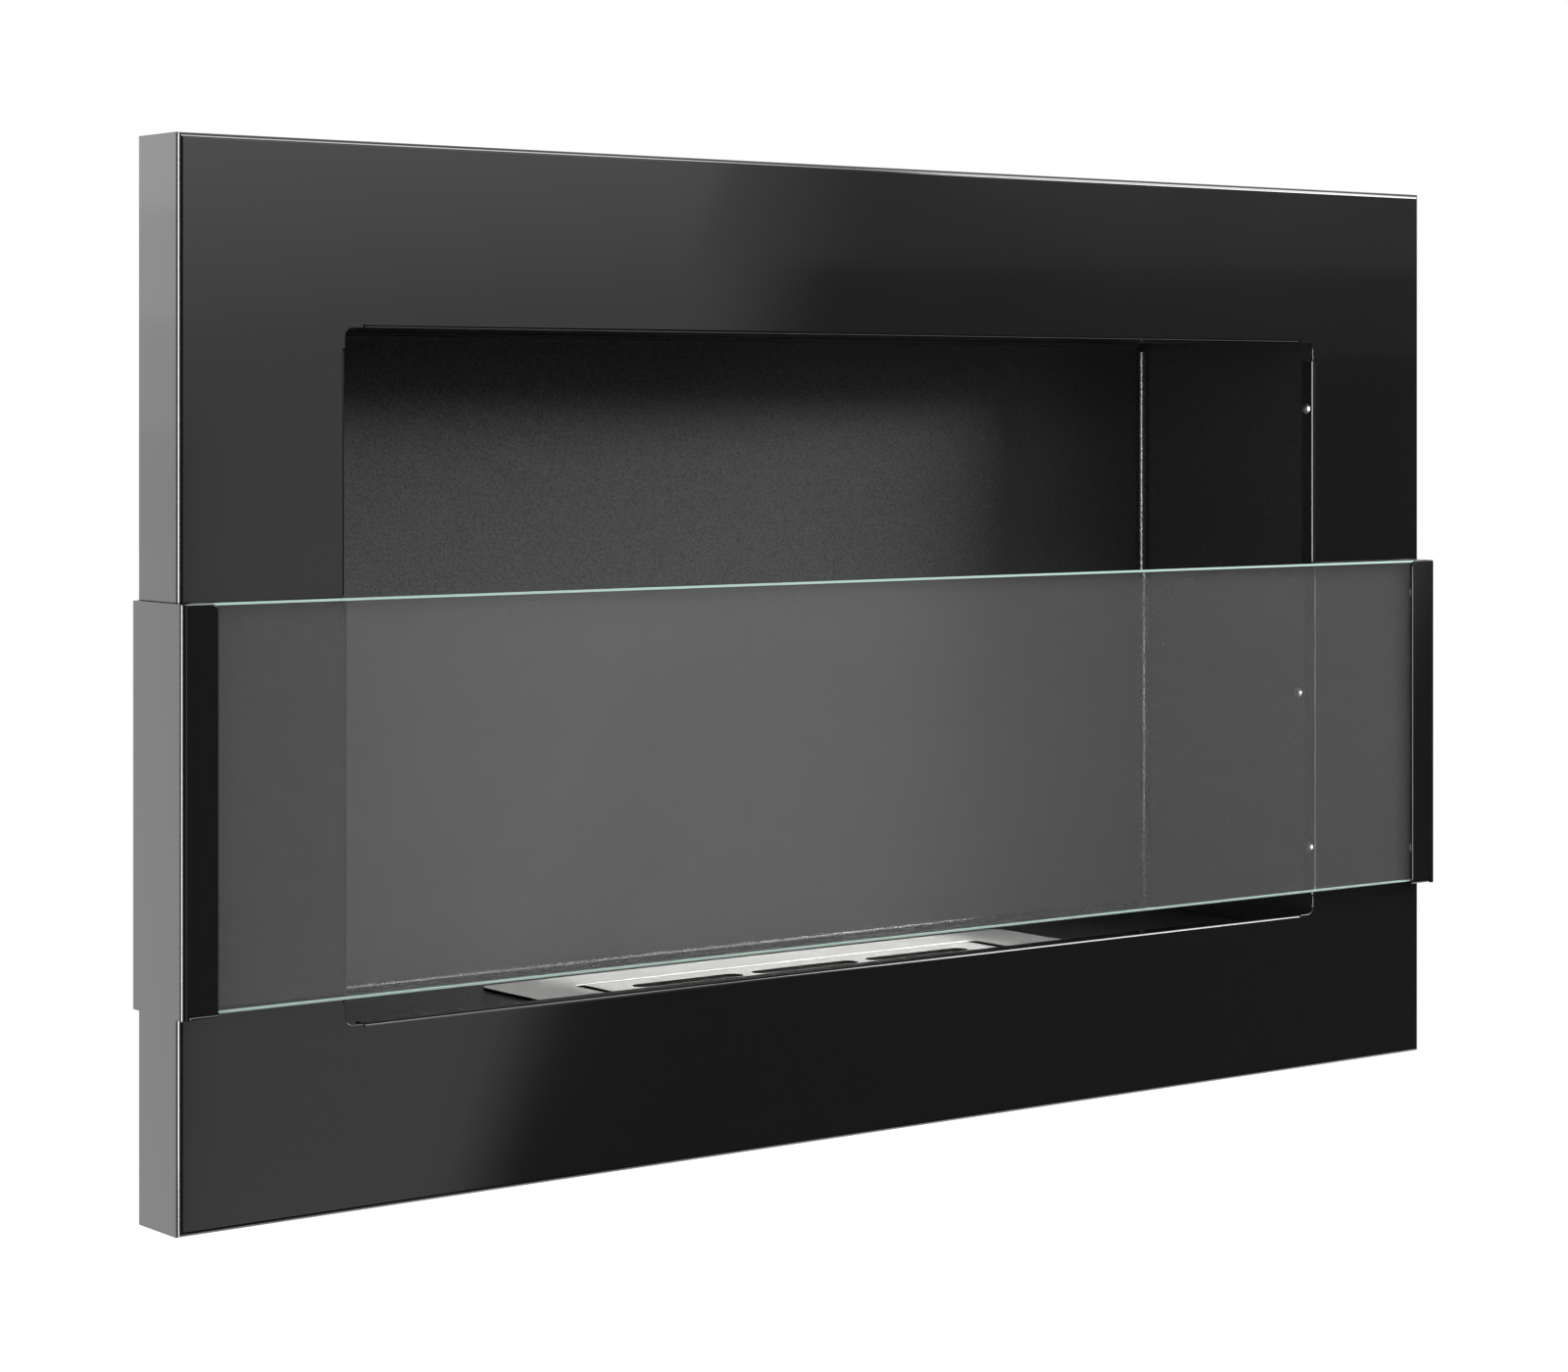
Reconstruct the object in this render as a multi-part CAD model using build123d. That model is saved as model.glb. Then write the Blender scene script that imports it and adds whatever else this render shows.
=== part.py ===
from build123d import *
import os

# Wall-hung bioethanol fireplace, in millimetres.
# A folded steel frame is riveted to an open firebox. A burner drops into the firebox floor,
# and a glass screen stands in two clips that slide on the frame's sides.
# Pieces are laid out with X to the right, Y from the frame's front face towards the wall,
# and Z up from the frame's bottom edge.

# Front frame
frame_width = 650.0
frame_height = 400.0
frame_sheet = 1.2
return_depth = 30.0
bend_radius = 2.0
bend_relief = 0.8
border_width = 70.0
opening_corner_radius = 3.4
opening_edge_radius = 0.5
lip_depth = 7.0
lip_bend_radius = 1.4
lip_setback = 8.5

# Firebox
unit_depth = 120.0
box_sheet = 1.2
box_flange = 14.0
box_front_gap = 0.2
floor_drop = 8.0
back_corner_radius = 6.0
liner_sheet = 0.8
liner_bend_radius = 3.0
liner_lip = 5.0
liner_gap = 0.2

# Wall hanging
keyhole_spacing = 400.0
keyhole_seat_radius = 3.2
keyhole_entry_radius = 6.0
keyhole_drop = 9.0
keyhole_margin = 9.0
buffer_radius = 8.0
buffer_height = 3.0
buffer_inset = 12.0
buffer_chamfer = 0.8

# Angles between the frame and the firebox walls
bracket_sheet = 1.5
bracket_height = 40.0
bracket_frame_leg = 24.0
bracket_wall_leg = 20.0
bracket_offset = -30.0
bracket_rivet_depth = 12.8

# Blind rivets
rivet_radius = 1.2
rivet_head_radius = 2.4
rivet_head_height = 0.7
rivet_tail_radius = 1.7
rivet_tail_length = 1.8
rivet_clearance = 0.05
rivet_inset = 25.0
lip_rivet_inset = 30.0
back_rivets_per_side = 3

# Burner
burner_length = 280.0
burner_depth = 76.0
burner_sheet = 1.2
burner_corner_radius = 5.0
burner_distance = 49.0
tray_length = 260.0
tray_depth = 56.0
tray_height = 45.0
tray_sheet = 1.0
tray_corner_radius = 8.0
tray_floor_radius = 4.0
tray_gap = 2.0
mouth_length = 216.0
mouth_depth = 34.0
mouth_corner_radius = 4.0
mouth_edge_radius = 0.6
flame_sheet = 1.0
flame_drop = 0.3
flame_end_gap = 5.0
flame_side_gap = 1.5
slot_count = 3
slot_length = 55.0
slot_width = 9.0
slot_bridge = 6.5
rail_sheet = 1.0
rail_length = 190.0
rail_leg = 8.0
rail_overlap = 2.5
wool_height = 34.0

# Glass screen and its clips
glass_thickness = 4.0
glass_inset = 2.0
bumper_radius = 3.0
bumper_height = 2.3
bumper_chamfer = 0.6
bumper_inset_x = 4.0
bumper_inset_z = 15.0
clip_sheet = 1.2
clip_height = 150.0
clip_base = 79.5
clip_flange = 15.0
clip_corner_radius = 3.0
clip_edge_radius = 0.4
clip_side_gap = 1.4
clip_hook_gap = 0.1
clip_lip_gap = 0.8
clip_lip_length = 8.0
clip_tab_width = 11.0
clip_tab_clearance = 1.0
sliding_gap = 0.1
resting_gap = 0.05

# Places worked out from the sizes above
opening_width = frame_width - 2 * border_width
opening_height = frame_height - 2 * border_width
opening_bottom = border_width
opening_top = frame_height - border_width
opening_middle = frame_height / 2
box_half_width = opening_width / 2 + frame_sheet
box_top = opening_top + frame_sheet
floor_top = opening_bottom - floor_drop
back_rear = unit_depth - buffer_height
back_front = back_rear - box_sheet
wall_front = bend_radius + box_front_gap
wall_bottom = floor_top - box_flange
wall_top = box_top + box_flange
wall_height = wall_top - wall_bottom
flange_middle = (bend_radius + box_flange) / 2
back_half_width = box_half_width + box_flange
hanging_height = wall_top + keyhole_entry_radius
back_top = hanging_height + keyhole_drop + keyhole_margin
burner_top = floor_top + burner_sheet
flame_top = burner_top - flame_drop
flame_length = mouth_length - 2 * flame_end_gap
flame_depth = mouth_depth - 2 * flame_side_gap
rail_top = flame_top - flame_sheet
tray_bottom = floor_top - tray_height
tray_inner_depth = tray_depth - 2 * tray_sheet
glass_back = -bumper_height - sliding_gap
glass_front = glass_back - glass_thickness
clip_front = glass_front - sliding_gap - clip_sheet
clip_side = frame_width / 2 + clip_side_gap + clip_sheet
clip_rear = return_depth + clip_hook_gap + clip_sheet
clip_lip_x = frame_width / 2 - frame_sheet - clip_lip_gap - clip_sheet
clip_lip_y = clip_rear - clip_lip_length
clip_top = clip_base + clip_height
glass_width = frame_width - 2 * glass_inset
glass_bottom = clip_base + clip_sheet + resting_gap
glass_chamfer = bend_radius - clip_sheet


# Shapes used by several pieces

def block(low, high):
    """A box between two corners."""
    size = [b - a for a, b in zip(low, high)]
    return Pos(*low) * Box(*size, align=(Align.MIN, Align.MIN, Align.MIN))


def fold(length, depth, sheet, radius=bend_radius):
    """A folded edge: the sheet lies on Y 0 beyond X = radius and turns at X 0 towards +Y."""
    centre = (radius, radius)
    outside = CenterArc(centre, radius, 180, 90)
    inside = CenterArc(centre, radius - sheet, 180, 90)
    leg = Polyline((0, radius), (0, depth), (sheet, depth), (sheet, radius))
    seam = Line((radius, 0), (radius, sheet))
    return extrude(make_face([outside, leg, inside, seam]), length / 2, both=True)


def angle(length, flat_leg, turned_leg, sheet):
    """An angle strip: a fold with its flat leg."""
    flat = block((bend_radius, 0, -length / 2), (flat_leg, sheet, length / 2))
    return flat + fold(length, turned_leg, sheet)


# Turns about Y that set a fold on each side of a panel, with its flat side towards the middle
side_turn = {"left": 0, "bottom": -90, "right": 180, "top": 90}


def folded_panel(width, height, sheet, depth, sides, radius=bend_radius):
    """A sheet on Y 0, centred on X and Z, with the named sides turned towards +Y."""
    inset = {side: radius if side in sides else 0.0 for side in side_turn}
    cut = {side: radius + bend_relief if side in sides else 0.0 for side in side_turn}
    panel = block(
        (inset["left"] - width / 2, 0, inset["bottom"] - height / 2),
        (width / 2 - inset["right"], sheet, height / 2 - inset["top"]),
    )
    middle_x = (cut["left"] - cut["right"]) / 2
    middle_z = (cut["bottom"] - cut["top"]) / 2
    places = {
        "left": (Pos(-width / 2, 0, middle_z), height - cut["bottom"] - cut["top"]),
        "right": (Pos(width / 2, 0, middle_z), height - cut["bottom"] - cut["top"]),
        "bottom": (Pos(middle_x, 0, -height / 2), width - cut["left"] - cut["right"]),
        "top": (Pos(middle_x, 0, height / 2), width - cut["left"] - cut["right"]),
    }
    for side in sides:
        place, length = places[side]
        panel += place * Rot(0, side_turn[side], 0) * fold(length, depth, sheet, radius)
    return panel


def rounded_plate(length, depth, thickness, radius):
    """A flat plate with rounded corners, lying below Z 0."""
    return extrude(RectangleRounded(length, depth, radius), -thickness)


def mirrored(shape):
    """The same shape on the other side of the fireplace."""
    return mirror(shape, about=Plane.YZ)


# Rivets and the holes they sit in

def rivet(grip):
    """A blind rivet along +Z, its domed head below Z 0."""
    dome_radius = (rivet_head_radius**2 + rivet_head_height**2) / (2 * rivet_head_height)
    head = RadiusArc((0, -rivet_head_height), (rivet_head_radius, 0), -dome_radius)
    body = Polyline(
        (rivet_head_radius, 0),
        (rivet_radius, 0),
        (rivet_radius, grip),
        (rivet_tail_radius, grip),
        (rivet_radius, grip + rivet_tail_length),
        (0, grip + rivet_tail_length),
        (0, -rivet_head_height),
    )
    return Rot(90, 0, 0) * revolve(make_face([head, body]), Axis.Y)


def rivet_holes(places, grip):
    """Holes for rivets at these places, running a little past the sheets on both sides."""
    radius = rivet_radius + rivet_clearance
    hole = Cylinder(radius, grip + 2 * radius, align=(Align.CENTER, Align.CENTER, Align.MIN))
    return [place * Pos(0, 0, -radius) * hole for place in places]


def rivet_group(places, grip):
    """Rivets at these places, as separate solids."""
    return [place * rivet(grip) for place in places]


def spread(low, high, count):
    """Evenly spaced values from low to high."""
    step = (high - low) / (count - 1)
    return [low + step * index for index in range(count)]


# Where the rivets of the right side and of the back go, each along its own Z
lip_rivets = [
    Pos(opening_width / 2, (bend_radius + lip_depth) / 2, height) * Rot(0, 90, 0)
    for height in (opening_bottom + lip_rivet_inset, opening_top - lip_rivet_inset)
]
lip_grip = frame_sheet + box_sheet
bracket_middle = opening_middle + bracket_offset
bracket_rivets = [Pos(box_half_width, bracket_rivet_depth, bracket_middle) * Rot(0, 90, 0)]
bracket_grip = box_sheet + bracket_sheet
box_grip = 2 * box_sheet


def side_rivets(height):
    """Rivets that join a side wall to the folded edge of the top or floor."""
    depths = (wall_front + rivet_inset, back_front - rivet_inset)
    return [Pos(box_half_width + box_sheet, depth, height) * Rot(0, -90, 0) for depth in depths]


top_rivets = side_rivets(box_top + flange_middle)
floor_rivets = side_rivets(floor_top - flange_middle)
wall_flange_x = box_half_width + flange_middle
wall_flange_heights = spread(wall_bottom + rivet_inset, wall_top - rivet_inset, back_rivets_per_side)
panel_flange_xs = spread(rivet_inset - box_half_width, box_half_width - rivet_inset, back_rivets_per_side)
back_rivet_points = [(wall_flange_x, height) for height in wall_flange_heights]
back_rivet_points += [(-wall_flange_x, height) for height in wall_flange_heights]
back_rivet_points += [(x, box_top + flange_middle) for x in panel_flange_xs]
back_rivet_points += [(x, floor_top - flange_middle) for x in panel_flange_xs]
back_rivets = [Pos(x, back_rear, height) * Rot(90, 0, 0) for x, height in back_rivet_points]


# Front frame

def front_frame():
    """The folded front sheet: outer edges turned back, an opening, and a lip on each of its edges."""
    half_width = frame_width / 2
    tray = block((-half_width, 0, 0), (half_width, return_depth, frame_height))
    tray = fillet(tray.faces().sort_by(Axis.Y)[0].edges(), bend_radius)
    hollow = block(
        (frame_sheet - half_width, frame_sheet, frame_sheet),
        (half_width - frame_sheet, return_depth, frame_height - frame_sheet),
    )
    hollow = fillet(hollow.faces().sort_by(Axis.Y)[0].edges(), bend_radius - frame_sheet)
    frame = tray - hollow
    mouth = extrude(RectangleRounded(opening_width, opening_height, opening_corner_radius), frame_sheet)
    frame -= Pos(0, 0, opening_middle) * Rot(-90, 0, 0) * mouth
    front_edges = frame.edges().group_by(Axis.Y)[0].filter_by_position(Axis.Z, opening_bottom, opening_top)
    mouth_edges = front_edges.filter_by_position(Axis.X, -opening_width / 2, opening_width / 2)
    frame = fillet(mouth_edges, opening_edge_radius)
    # Round the opening, the right edge folds as the left side of a panel does, and so on
    edges = {
        "left": (Pos(opening_width / 2, 0, opening_middle), opening_height),
        "right": (Pos(-opening_width / 2, 0, opening_middle), opening_height),
        "bottom": (Pos(0, 0, opening_top), opening_width),
        "top": (Pos(0, 0, opening_bottom), opening_width),
    }
    for side, (place, edge_length) in edges.items():
        length = edge_length - 2 * lip_setback
        reach = length / 2 + bend_relief
        turn = place * Rot(0, side_turn[side], 0)
        frame -= turn * block((0, 0, -reach), (lip_bend_radius, frame_sheet, reach))
        frame += turn * fold(length, lip_depth, frame_sheet, lip_bend_radius)
    holes = rivet_holes(lip_rivets, lip_grip)
    return frame - holes - [mirrored(hole) for hole in holes]


# Firebox

def firebox_right_wall():
    """A side wall that grips the frame's lip in front and is turned out at the back."""
    depth = back_front - wall_front
    panel = folded_panel(depth, wall_height, box_sheet, box_flange, ["left"])
    middle = (wall_front + back_front) / 2
    wall = Pos(box_half_width, middle, (wall_bottom + wall_top) / 2) * Rot(0, 0, -90) * panel
    wall -= rivet_holes(lip_rivets, lip_grip) + rivet_holes(bracket_rivets, bracket_grip)
    return wall - rivet_holes(top_rivets + floor_rivets + back_rivets, box_grip)


def firebox_top():
    """The top sheet, turned up at the sides and the back."""
    panel = folded_panel(
        2 * box_half_width, back_front - wall_front, box_sheet, box_flange, ["left", "right", "bottom"]
    )
    top = Pos(0, (wall_front + back_front) / 2, box_top) * Rot(90, 0, 0) * panel
    holes = rivet_holes(top_rivets, box_grip)
    return top - holes - [mirrored(hole) for hole in holes] - rivet_holes(back_rivets, box_grip)


def firebox_floor():
    """The floor, turned down all round, with the cut-out that the burner hangs in."""
    panel = folded_panel(
        2 * box_half_width, back_front - frame_sheet, box_sheet, box_flange, list(side_turn)
    )
    floor = Pos(0, (frame_sheet + back_front) / 2, floor_top) * Rot(-90, 0, 0) * panel
    cutout = rounded_plate(
        tray_length + 2 * tray_gap, tray_depth + 2 * tray_gap, box_sheet, tray_corner_radius + tray_gap
    )
    floor -= Pos(0, burner_distance, floor_top) * cutout
    holes = rivet_holes(floor_rivets, box_grip)
    return floor - holes - [mirrored(hole) for hole in holes] - rivet_holes(back_rivets, box_grip)


def keyhole():
    """A hanging hole along Z: a screw's head passes the round end and its shank seats in the neck above."""
    seat = Pos(0, keyhole_drop) * Circle(keyhole_seat_radius)
    neck = Pos(0, keyhole_drop / 2) * Rectangle(2 * keyhole_seat_radius, keyhole_drop)
    return extrude(Circle(keyhole_entry_radius) + neck + seat, box_sheet)


def firebox_back():
    """The back sheet, riveted to the turned-out edges, with keyholes in the strip above the firebox."""
    height = back_top - wall_bottom
    outline = extrude(RectangleRounded(2 * back_half_width, height, back_corner_radius), box_sheet)
    back = Pos(0, back_rear, (wall_bottom + back_top) / 2) * Rot(90, 0, 0) * outline
    for x in (-keyhole_spacing / 2, keyhole_spacing / 2):
        back -= Pos(x, back_rear, hanging_height) * Rot(90, 0, 0) * keyhole()
    return back - rivet_holes(back_rivets, box_grip)


def firebox_liner():
    """The panel seen inside the firebox, on the back sheet, its edges turned forward into short lips."""
    width = 2 * (box_half_width - liner_gap)
    height = box_top - floor_top - liner_gap
    panel = folded_panel(width, height, liner_sheet, liner_lip, list(side_turn), liner_bend_radius)
    return Pos(0, back_front, floor_top + height / 2) * Rot(0, 0, 180) * panel


def wall_buffers():
    """Rubber discs at the back sheet's corners, which keep it off the wall."""
    disc = Cylinder(buffer_radius, buffer_height, align=(Align.CENTER, Align.CENTER, Align.MIN))
    disc = Rot(-90, 0, 0) * chamfer(disc.edges().sort_by(Axis.Z)[-1], buffer_chamfer)
    x = back_half_width - buffer_inset
    heights = (wall_bottom + buffer_inset, back_top - buffer_inset)
    return [Pos(side * x, back_rear, height) * disc for side in (-1, 1) for height in heights]


def frame_bracket_right():
    """An angle that ties the frame's rear face to the outside of the side wall."""
    strip = angle(bracket_height, bracket_frame_leg, bracket_wall_leg, bracket_sheet)
    bracket = Pos(box_half_width + box_sheet, frame_sheet, bracket_middle) * strip
    return bracket - rivet_holes(bracket_rivets, bracket_grip)


# Burner

def burner_top_plate():
    """The plate that rests on the firebox floor, with the long round-edged opening for the flames."""
    plate = rounded_plate(burner_length, burner_depth, burner_sheet, burner_corner_radius)
    plate -= rounded_plate(mouth_length, mouth_depth, burner_sheet, mouth_corner_radius)
    top_edges = plate.edges().group_by(Axis.Z)[-1].filter_by_position(Axis.X, -mouth_length / 2, mouth_length / 2)
    mouth_edges = top_edges.filter_by_position(Axis.Y, -mouth_depth / 2, mouth_depth / 2)
    return Pos(0, burner_distance, burner_top) * fillet(mouth_edges, mouth_edge_radius)


def burner_tray():
    """The fuel box that hangs below the top plate."""
    outside = rounded_plate(tray_length, tray_depth, tray_height, tray_corner_radius)
    outside = fillet(outside.faces().sort_by(Axis.Z)[0].edges(), tray_floor_radius)
    inside = rounded_plate(
        tray_length - 2 * tray_sheet,
        tray_inner_depth,
        tray_height - tray_sheet,
        tray_corner_radius - tray_sheet,
    )
    inside = fillet(inside.faces().sort_by(Axis.Z)[0].edges(), tray_floor_radius - tray_sheet)
    return Pos(0, burner_distance, floor_top) * (outside - inside)


def flame_plate_rails():
    """Two angles on the tray's long walls that carry the flame plate."""
    reach = (tray_inner_depth - flame_depth) / 2 + rail_overlap
    strip = angle(rail_length, reach, rail_leg, rail_sheet)
    rear = Plane((0, burner_distance + tray_inner_depth / 2, rail_top), (0, -1, 0), (1, 0, 0))
    front = Plane((0, burner_distance - tray_inner_depth / 2, rail_top), (0, 1, 0), (-1, 0, 0))
    return [rear * strip, front * strip]


def flame_plate():
    """The loose slotted plate that lies in the top plate's opening."""
    slot = extrude(SlotOverall(slot_length, slot_width), -flame_sheet)
    plate = extrude(Rectangle(flame_length, flame_depth), -flame_sheet)
    for place in GridLocations(slot_length + slot_bridge, 0, slot_count, 1):
        plate -= place * slot
    return Pos(0, burner_distance, flame_top + resting_gap) * plate


def ceramic_wool():
    """The fibre block on the flat of the tray's floor, which soaks up the fuel."""
    wool = rounded_plate(
        tray_length - 2 * tray_floor_radius,
        tray_depth - 2 * tray_floor_radius,
        wool_height,
        tray_corner_radius - tray_floor_radius,
    )
    return Pos(0, burner_distance, tray_bottom + tray_sheet + wool_height) * wool


# Glass screen

def glass_clip_right():
    """A clip folded round the frame's edge: a flange in front of the glass, a hook behind, a tab below."""
    line = FilletPolyline(
        (clip_side - clip_flange, clip_front),
        (clip_side, clip_front),
        (clip_side, clip_rear),
        (clip_lip_x, clip_rear),
        (clip_lip_x, clip_lip_y),
        radius=bend_radius,
    )
    section = make_face(offset(line, clip_sheet, side=Side.LEFT))
    clip = Pos(0, 0, clip_base) * extrude(section, clip_height)
    corner = clip.edges().filter_by(Axis.Y).filter_by_position(Axis.Z, clip_top, clip_top)
    clip = fillet(corner.sort_by(Axis.X)[:1], clip_corner_radius)
    free_edge = clip.edges().filter_by(Axis.Z).group_by(Axis.X)[0].sort_by(Axis.Y)[:1]
    clip = fillet(free_edge, clip_edge_radius)
    tab_start = clip_side - clip_flange
    tab_end = tab_start + clip_tab_width
    clip -= block(
        (tab_start, clip_front, clip_base),
        (tab_end + bend_relief, clip_front + clip_sheet, clip_base + bend_radius),
    )
    tab = Rot(0, side_turn["bottom"], 0) * fold(clip_tab_width, -clip_front - clip_tab_clearance, clip_sheet)
    return clip + Pos((tab_start + tab_end) / 2, clip_front, clip_base) * tab


def glass_pane():
    """The tempered pane, with its edges ground at a slant."""
    pane = block(
        (-glass_width / 2, glass_front, glass_bottom),
        (glass_width / 2, glass_back, clip_top),
    )
    return chamfer(pane.edges(), glass_chamfer)


def glass_bumpers():
    """Soft discs stuck to the back of the pane, which slide on the painted frame."""
    disc = Cylinder(bumper_radius, bumper_height, align=(Align.CENTER, Align.CENTER, Align.MIN))
    disc = Rot(-90, 0, 0) * chamfer(disc.edges().sort_by(Axis.Z)[-1], bumper_chamfer)
    x = glass_width / 2 - bumper_inset_x
    heights = (glass_bottom + bumper_inset_z, clip_top - bumper_inset_z)
    return [Pos(side * x, glass_back, height) * disc for side in (-1, 1) for height in heights]


# Write every piece with the origin midway between the keyholes' round ends, on the back sheet's rear face
os.makedirs("parts", exist_ok=True)


def both_sides(shapes):
    """These shapes with their mirror images."""
    return shapes + [mirrored(shape) for shape in shapes]


def save(name, *shapes):
    """Moves the shapes to the hanging origin and writes them as one named piece."""
    moved = [Pos(0, -back_rear, -hanging_height) * shape for shape in shapes]
    export_step(moved[0] if len(moved) == 1 else Compound(children=moved), f"parts/{name}.step")


right_wall = firebox_right_wall()
right_bracket = frame_bracket_right()
right_clip = glass_clip_right()
save("front_frame", front_frame())
save("firebox_right_wall", right_wall)
save("firebox_left_wall", mirrored(right_wall))
save("firebox_top", firebox_top())
save("firebox_floor", firebox_floor())
save("firebox_back", firebox_back())
save("firebox_liner", firebox_liner())
save("wall_buffers", *wall_buffers())
save("frame_bracket_right", right_bracket)
save("frame_bracket_left", mirrored(right_bracket))
save("lip_rivets", *both_sides(rivet_group(lip_rivets, lip_grip)))
save("bracket_rivets", *both_sides(rivet_group(bracket_rivets, bracket_grip)))
save("top_rivets", *both_sides(rivet_group(top_rivets, box_grip)))
save("floor_rivets", *both_sides(rivet_group(floor_rivets, box_grip)))
save("back_rivets", *rivet_group(back_rivets, box_grip))
save("burner_top_plate", burner_top_plate())
save("burner_tray", burner_tray())
save("flame_plate_rails", *flame_plate_rails())
save("flame_plate", flame_plate())
save("ceramic_wool", ceramic_wool())
save("glass_pane", glass_pane())
save("glass_bumpers", *glass_bumpers())
save("glass_clip_right", right_clip)
save("glass_clip_left", mirrored(right_clip))
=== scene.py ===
import math
from typing import NamedTuple

import bmesh
import bpy
from bpy.props import FloatProperty, FloatVectorProperty, PointerProperty
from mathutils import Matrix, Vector, noise


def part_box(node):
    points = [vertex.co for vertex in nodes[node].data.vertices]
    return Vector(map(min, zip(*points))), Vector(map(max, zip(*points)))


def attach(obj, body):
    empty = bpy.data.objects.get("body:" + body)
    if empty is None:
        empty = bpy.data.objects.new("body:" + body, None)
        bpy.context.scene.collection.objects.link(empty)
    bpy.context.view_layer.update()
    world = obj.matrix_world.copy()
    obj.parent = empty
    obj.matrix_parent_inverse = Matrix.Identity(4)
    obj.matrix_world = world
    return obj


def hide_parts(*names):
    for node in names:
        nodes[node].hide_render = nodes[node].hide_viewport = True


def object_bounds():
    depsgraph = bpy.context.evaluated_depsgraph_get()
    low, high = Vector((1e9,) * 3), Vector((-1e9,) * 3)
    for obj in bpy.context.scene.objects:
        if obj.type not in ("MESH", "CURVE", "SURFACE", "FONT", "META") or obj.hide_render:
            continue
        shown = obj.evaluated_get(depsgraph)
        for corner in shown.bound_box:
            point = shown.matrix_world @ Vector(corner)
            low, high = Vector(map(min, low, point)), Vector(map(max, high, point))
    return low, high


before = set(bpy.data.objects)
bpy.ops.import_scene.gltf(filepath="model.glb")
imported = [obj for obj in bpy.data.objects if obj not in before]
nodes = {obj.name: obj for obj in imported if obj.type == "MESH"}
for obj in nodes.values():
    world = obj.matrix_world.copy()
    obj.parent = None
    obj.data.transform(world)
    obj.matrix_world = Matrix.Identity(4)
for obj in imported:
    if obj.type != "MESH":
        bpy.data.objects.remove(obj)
cad_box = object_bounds()

bl_info = {
    "name": "Wall fireplace",
    "version": (1, 0, 0),
    "blender": (4, 5, 0),
    "location": "3D View > Sidebar > Fireplace",
    "description": "Finishes a bioethanol wall fireplace and sets it in a white studio",
    "category": "Object",
}

mm = 0.001

# The pieces that share a finish
glass_clips = ["glass_clip_left", "glass_clip_right"]
firebox_sheets = [
    "firebox_left_wall", "firebox_right_wall", "firebox_top", "firebox_floor", "firebox_back",
    "frame_bracket_left", "frame_bracket_right",
]
burner_plates = ["burner_top_plate", "flame_plate"]
burner_box = ["burner_tray", "flame_plate_rails"]
rivets = ["lip_rivets", "bracket_rivets", "top_rivets", "floor_rivets", "back_rivets"]


def linear(hex_colour):
    """The linear colour of an sRGB hex value such as #1a1a1b, with an alpha of 1."""
    channels = [int(hex_colour[place:place + 2], 16) / 255 for place in (1, 3, 5)]
    curved = [c / 12.92 if c <= 0.04045 else ((c + 0.055) / 1.055) ** 2.4 for c in channels]
    return (*curved, 1.0)


def colour(name, description, hex_colour):
    """A colour that a user can change."""
    return FloatVectorProperty(
        name=name, description=description, default=linear(hex_colour), size=4, min=0, max=1, subtype="COLOR"
    )


def length(name, description, metres):
    """A length that a user can change."""
    return FloatProperty(name=name, description=description, default=metres, min=0.01 * mm, unit="LENGTH")


def angle(name, description, degrees):
    """An angle that a user can change."""
    return FloatProperty(
        name=name, description=description, default=math.radians(degrees), subtype="ANGLE", unit="ROTATION"
    )


class FireplaceFinishes(bpy.types.PropertyGroup):
    """Colours of the finishes, and the real sizes of their grain"""

    gloss_black: colour("Gloss black", "Powder coat on the front frame and the clips", "#0c0c0d")
    satin_black: colour("Satin black", "Heat-resistant coat on the firebox sheets", "#161617")
    # The liner's textured coat: painted shade in the hollows and a painted highlight on the tops of its
    # grains
    texture_hollow_shade: colour("Texture dark", "Hollows of the textured coat on the liner", "#0a0a0b")
    texture_top_highlight: colour("Texture light", "Tops of the textured coat on the liner", "#202021")
    steel_bright: colour("Steel bright", "Brushed stainless steel between the brush lines", "#bcbcbb")
    steel_dull: colour("Steel dull", "Brushed stainless steel in the brush lines", "#a0a09f")
    # Painted shade on the upright faces of the burner's plates, which draws dark lines at their edges and
    # gaps
    steel_edge_shade: colour("Steel cut", "Laser-cut edges of the burner's plates", "#2b2a29")
    rivet_steel: colour("Rivet steel", "Drawn steel of the rivets", "#cfcfd0")
    glass_tint: colour("Glass tint", "What the pane lets through", "#f0f0ef")
    glass_edge: colour("Glass edge", "Ground edges of the pane", "#8ea69e")
    silicone: colour("Silicone", "Clear moulded discs behind the glass", "#dde3e2")
    rubber: colour("Rubber", "Moulded buffers against the wall", "#151515")
    # The white ceramic fibre: a painted highlight on the block's ridges and painted shade in its hollows
    fibre_ridge_highlight: colour("Fibre light", "Ceramic fibre on the block's ridges", "#efece4")
    fibre_hollow_shade: colour("Fibre dark", "Ceramic fibre in the block's hollows", "#c9c4b8")
    flange_lean: angle("Flange lean", "How far the clips' flanges press in towards the glass", 9.0)
    peel_size: length("Orange peel", "Width of one dimple of the gloss coat", 2.5 * mm)
    sheet_wave: length("Sheet wave", "Length of one slow wave of the thin sheet", 90 * mm)
    texture_grain: length("Texture grain", "Width of one grain of the textured coat", 0.9 * mm)
    brush_spacing: length("Brush spacing", "Distance between brush lines", 0.5 * mm)
    brush_length: length("Brush length", "Length of one brush line", 45 * mm)
    fibre_size: length("Fibre", "Width of one tuft of ceramic fibre", 1.2 * mm)


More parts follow.
